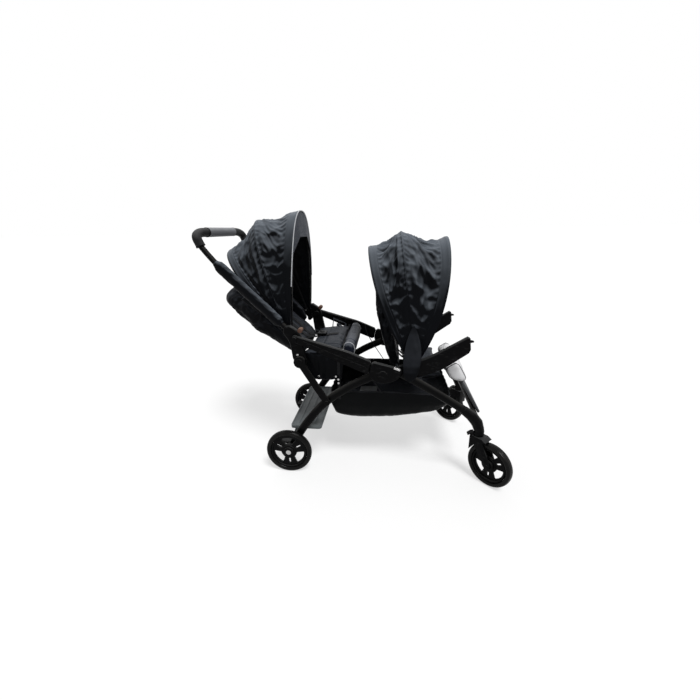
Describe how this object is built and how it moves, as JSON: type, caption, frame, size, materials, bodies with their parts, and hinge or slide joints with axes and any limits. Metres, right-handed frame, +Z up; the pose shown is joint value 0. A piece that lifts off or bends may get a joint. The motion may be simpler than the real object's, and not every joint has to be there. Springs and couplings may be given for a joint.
{
  "type": "sit and stand stroller",
  "caption": "Folding tandem stroller with two canopied seats, a rear standing platform, swivel front wheels, brakes and a basket.",
  "frame": {"origin": "on the floor, under the middle of the stroller's box", "axes": "+X towards the front wheels, +Y to the rider's left, +Z up"},
  "size_m": [1.2451, 0.6752, 1.0981],
  "materials": {
    "frame_paint": "satin black powder coat",
    "moulded_plastic": "fine grained black moulding",
    "tyre_rubber": "smooth black foam rubber with a soft gloss",
    "axle_steel": "bright zinc",
    "canopy_cloth": "slate black woven nylon",
    "visor_cloth": "slate grey woven nylon",
    "seat_cloth": "navy black padded polyester",
    "basket_cloth": "black woven polyester with a bound rim",
    "pad_cloth": "light grey padded polyester",
    "deck_plastic": "mid grey moulding with a fine grain",
    "footrest_plastic": "dark grey moulding with a fine grain",
    "grip_foam": "closed cell black foam"
  },
  "bodies": {
    "frame": {"rail_left": "moulded_plastic", "rail_right": "moulded_plastic", "junction_left": "moulded_plastic", "junction_right": "moulded_plastic", "front_leg_left": "frame_paint", "front_leg_right": "frame_paint", "front_elbow_left": "moulded_plastic", "front_elbow_right": "moulded_plastic", "front_arm_left": "moulded_plastic", "front_arm_right": "moulded_plastic", "front_cross_tube": "frame_paint", "footrest": "footrest_plastic", "rear_seat_base": "seat_cloth", "rear_seat_bolster": "seat_cloth", "front_seat_base": "seat_cloth", "calf_pad": "pad_cloth", "basket": "basket_cloth", "basket_board": "deck_plastic", "basket_strap_left": "basket_cloth", "basket_strap_right": "basket_cloth", "basket_cord_left": "basket_cloth", "basket_cord_right": "basket_cloth", "rear_canopy": "canopy_cloth", "front_canopy": "canopy_cloth", "rear_canopy_bow_rear": "frame_paint", "front_canopy_bow_rear": "frame_paint"},
    "handle": {"hinge_block_left": "moulded_plastic", "hinge_block_right": "moulded_plastic", "handle_tube_left": "frame_paint", "handle_tube_right": "frame_paint", "handle_sleeve_left": "canopy_cloth", "handle_sleeve_right": "canopy_cloth", "handle_grip": "grip_foam"},
    "struts": {"strut_left": "frame_paint", "strut_right": "frame_paint"},
    "rear_legs": {"rear_leg_left": "frame_paint", "rear_leg_right": "frame_paint", "rear_axle": "axle_steel", "standing_platform": "deck_plastic"},
    "rear_wheel_left": {"rear_wheel_left_tyre": "tyre_rubber", "rear_wheel_left_hub": "moulded_plastic"},
    "rear_wheel_right": {"rear_wheel_right_tyre": "tyre_rubber", "rear_wheel_right_hub": "moulded_plastic"},
    "brake_left": {"brake_pedal_left": "moulded_plastic"},
    "brake_right": {"brake_pedal_right": "moulded_plastic"},
    "caster_left": {"caster_fork_left": "moulded_plastic"},
    "caster_right": {"caster_fork_right": "moulded_plastic"},
    "front_wheel_left": {"front_wheel_left_tyre": "tyre_rubber", "front_wheel_left_hub": "moulded_plastic"},
    "front_wheel_right": {"front_wheel_right_tyre": "tyre_rubber", "front_wheel_right_hub": "moulded_plastic"},
    "lock_left": {"swivel_lock_left": "moulded_plastic"},
    "lock_right": {"swivel_lock_right": "moulded_plastic"},
    "rear_back": {"rear_seat_back": "seat_cloth"},
    "front_back": {"front_seat_back": "seat_cloth"},
    "rear_bow_middle": {"rear_canopy_bow_middle": "frame_paint"},
    "rear_bow_front": {"rear_canopy_bow_front": "frame_paint", "rear_visor": "visor_cloth"},
    "front_bow_middle": {"front_canopy_bow_middle": "frame_paint"},
    "front_bow_front": {"front_canopy_bow_front": "frame_paint"}
  },
  "joints": [
    {"name": "fold", "type": "hinge", "parent": "frame", "child": "handle", "pos_m": [-0.245, 0, 0.618], "axis": [0, 1, 0], "range_deg": [0, 80]},
    {"name": "strut_fold", "type": "hinge", "parent": "handle", "child": "struts", "pos_m": [-0.232, 0, 0.519], "axis": [0, 1, 0], "range_deg": [-112, 0]},
    {"name": "rear_leg_fold", "type": "hinge", "parent": "frame", "child": "rear_legs", "pos_m": [0.103, 0, 0.475], "axis": [0, 1, 0], "range_deg": [0, 34.4]},
    {"name": "rear_wheel_left_spin", "type": "hinge", "parent": "rear_legs", "child": "rear_wheel_left", "pos_m": [-0.305, 0.2465, 0.101], "axis": [0, 1, 0], "continuous": true},
    {"name": "rear_wheel_right_spin", "type": "hinge", "parent": "rear_legs", "child": "rear_wheel_right", "pos_m": [-0.305, -0.2465, 0.101], "axis": [0, 1, 0], "continuous": true},
    {"name": "brake_left_press", "type": "hinge", "parent": "rear_legs", "child": "brake_left", "pos_m": [-0.305, 0.176, 0.101], "axis": [0, 1, 0], "range_deg": [-15, 0]},
    {"name": "brake_right_press", "type": "hinge", "parent": "rear_legs", "child": "brake_right", "pos_m": [-0.305, -0.176, 0.101], "axis": [0, 1, 0], "range_deg": [-15, 0]},
    {"name": "caster_left_swivel", "type": "hinge", "parent": "frame", "child": "caster_left", "pos_m": [0.503, 0.22, 0.21], "axis": [0, 0, 1], "continuous": true},
    {"name": "caster_right_swivel", "type": "hinge", "parent": "frame", "child": "caster_right", "pos_m": [0.503, -0.22, 0.21], "axis": [0, 0, 1], "continuous": true},
    {"name": "front_wheel_left_spin", "type": "hinge", "parent": "caster_left", "child": "front_wheel_left", "pos_m": [0.45916, 0.26384, 0.095], "axis": [-0.7071, -0.7071, 0], "continuous": true},
    {"name": "front_wheel_right_spin", "type": "hinge", "parent": "caster_right", "child": "front_wheel_right", "pos_m": [0.54684, -0.26384, 0.095], "axis": [0.7071, 0.7071, 0], "continuous": true},
    {"name": "lock_left_lift", "type": "hinge", "parent": "frame", "child": "lock_left", "pos_m": [0.4815, 0.22, 0.2255], "axis": [0, 1, 0], "range_deg": [0, 18]},
    {"name": "lock_right_lift", "type": "hinge", "parent": "frame", "child": "lock_right", "pos_m": [0.4815, -0.22, 0.2255], "axis": [0, 1, 0], "range_deg": [0, 18]},
    {"name": "rear_seat_recline", "type": "hinge", "parent": "frame", "child": "rear_back", "pos_m": [-0.25, 0, 0.53], "axis": [0, 1, 0], "range_deg": [0, 40]},
    {"name": "front_seat_recline", "type": "hinge", "parent": "frame", "child": "front_back", "pos_m": [0.16, 0, 0.48], "axis": [0, 1, 0], "range_deg": [0, 12]},
    {"name": "rear_canopy_fold", "type": "hinge", "parent": "frame", "child": "rear_bow_middle", "pos_m": [-0.276, 0, 0.60005], "axis": [0, 1, 0], "range_deg": [-16, 0], "deforming": ["rear_canopy"]},
    {"name": "rear_canopy_front_fold", "type": "hinge", "parent": "rear_bow_middle", "child": "rear_bow_front", "pos_m": [-0.276, 0, 0.60005], "axis": [0, 1, 0], "range_deg": [-16, 0], "deforming": ["rear_canopy"]},
    {"name": "front_canopy_fold", "type": "hinge", "parent": "frame", "child": "front_bow_middle", "pos_m": [0.229, 0, 0.49203], "axis": [0, 1, 0], "range_deg": [-10.5, 0], "deforming": ["front_canopy"]},
    {"name": "front_canopy_front_fold", "type": "hinge", "parent": "front_bow_middle", "child": "front_bow_front", "pos_m": [0.229, 0, 0.49203], "axis": [0, 1, 0], "range_deg": [-15, 0], "deforming": ["front_canopy"]}
  ],
  "couplings": [
    {"joint": "strut_fold", "follows": "fold", "ratio": -1.4},
    {"joint": "rear_leg_fold", "follows": "fold", "ratio": 0.43},
    {"joint": "rear_canopy_front_fold", "follows": "rear_canopy_fold", "ratio": 1},
    {"joint": "front_canopy_front_fold", "follows": "front_canopy_fold", "ratio": 1.4286}
  ]
}
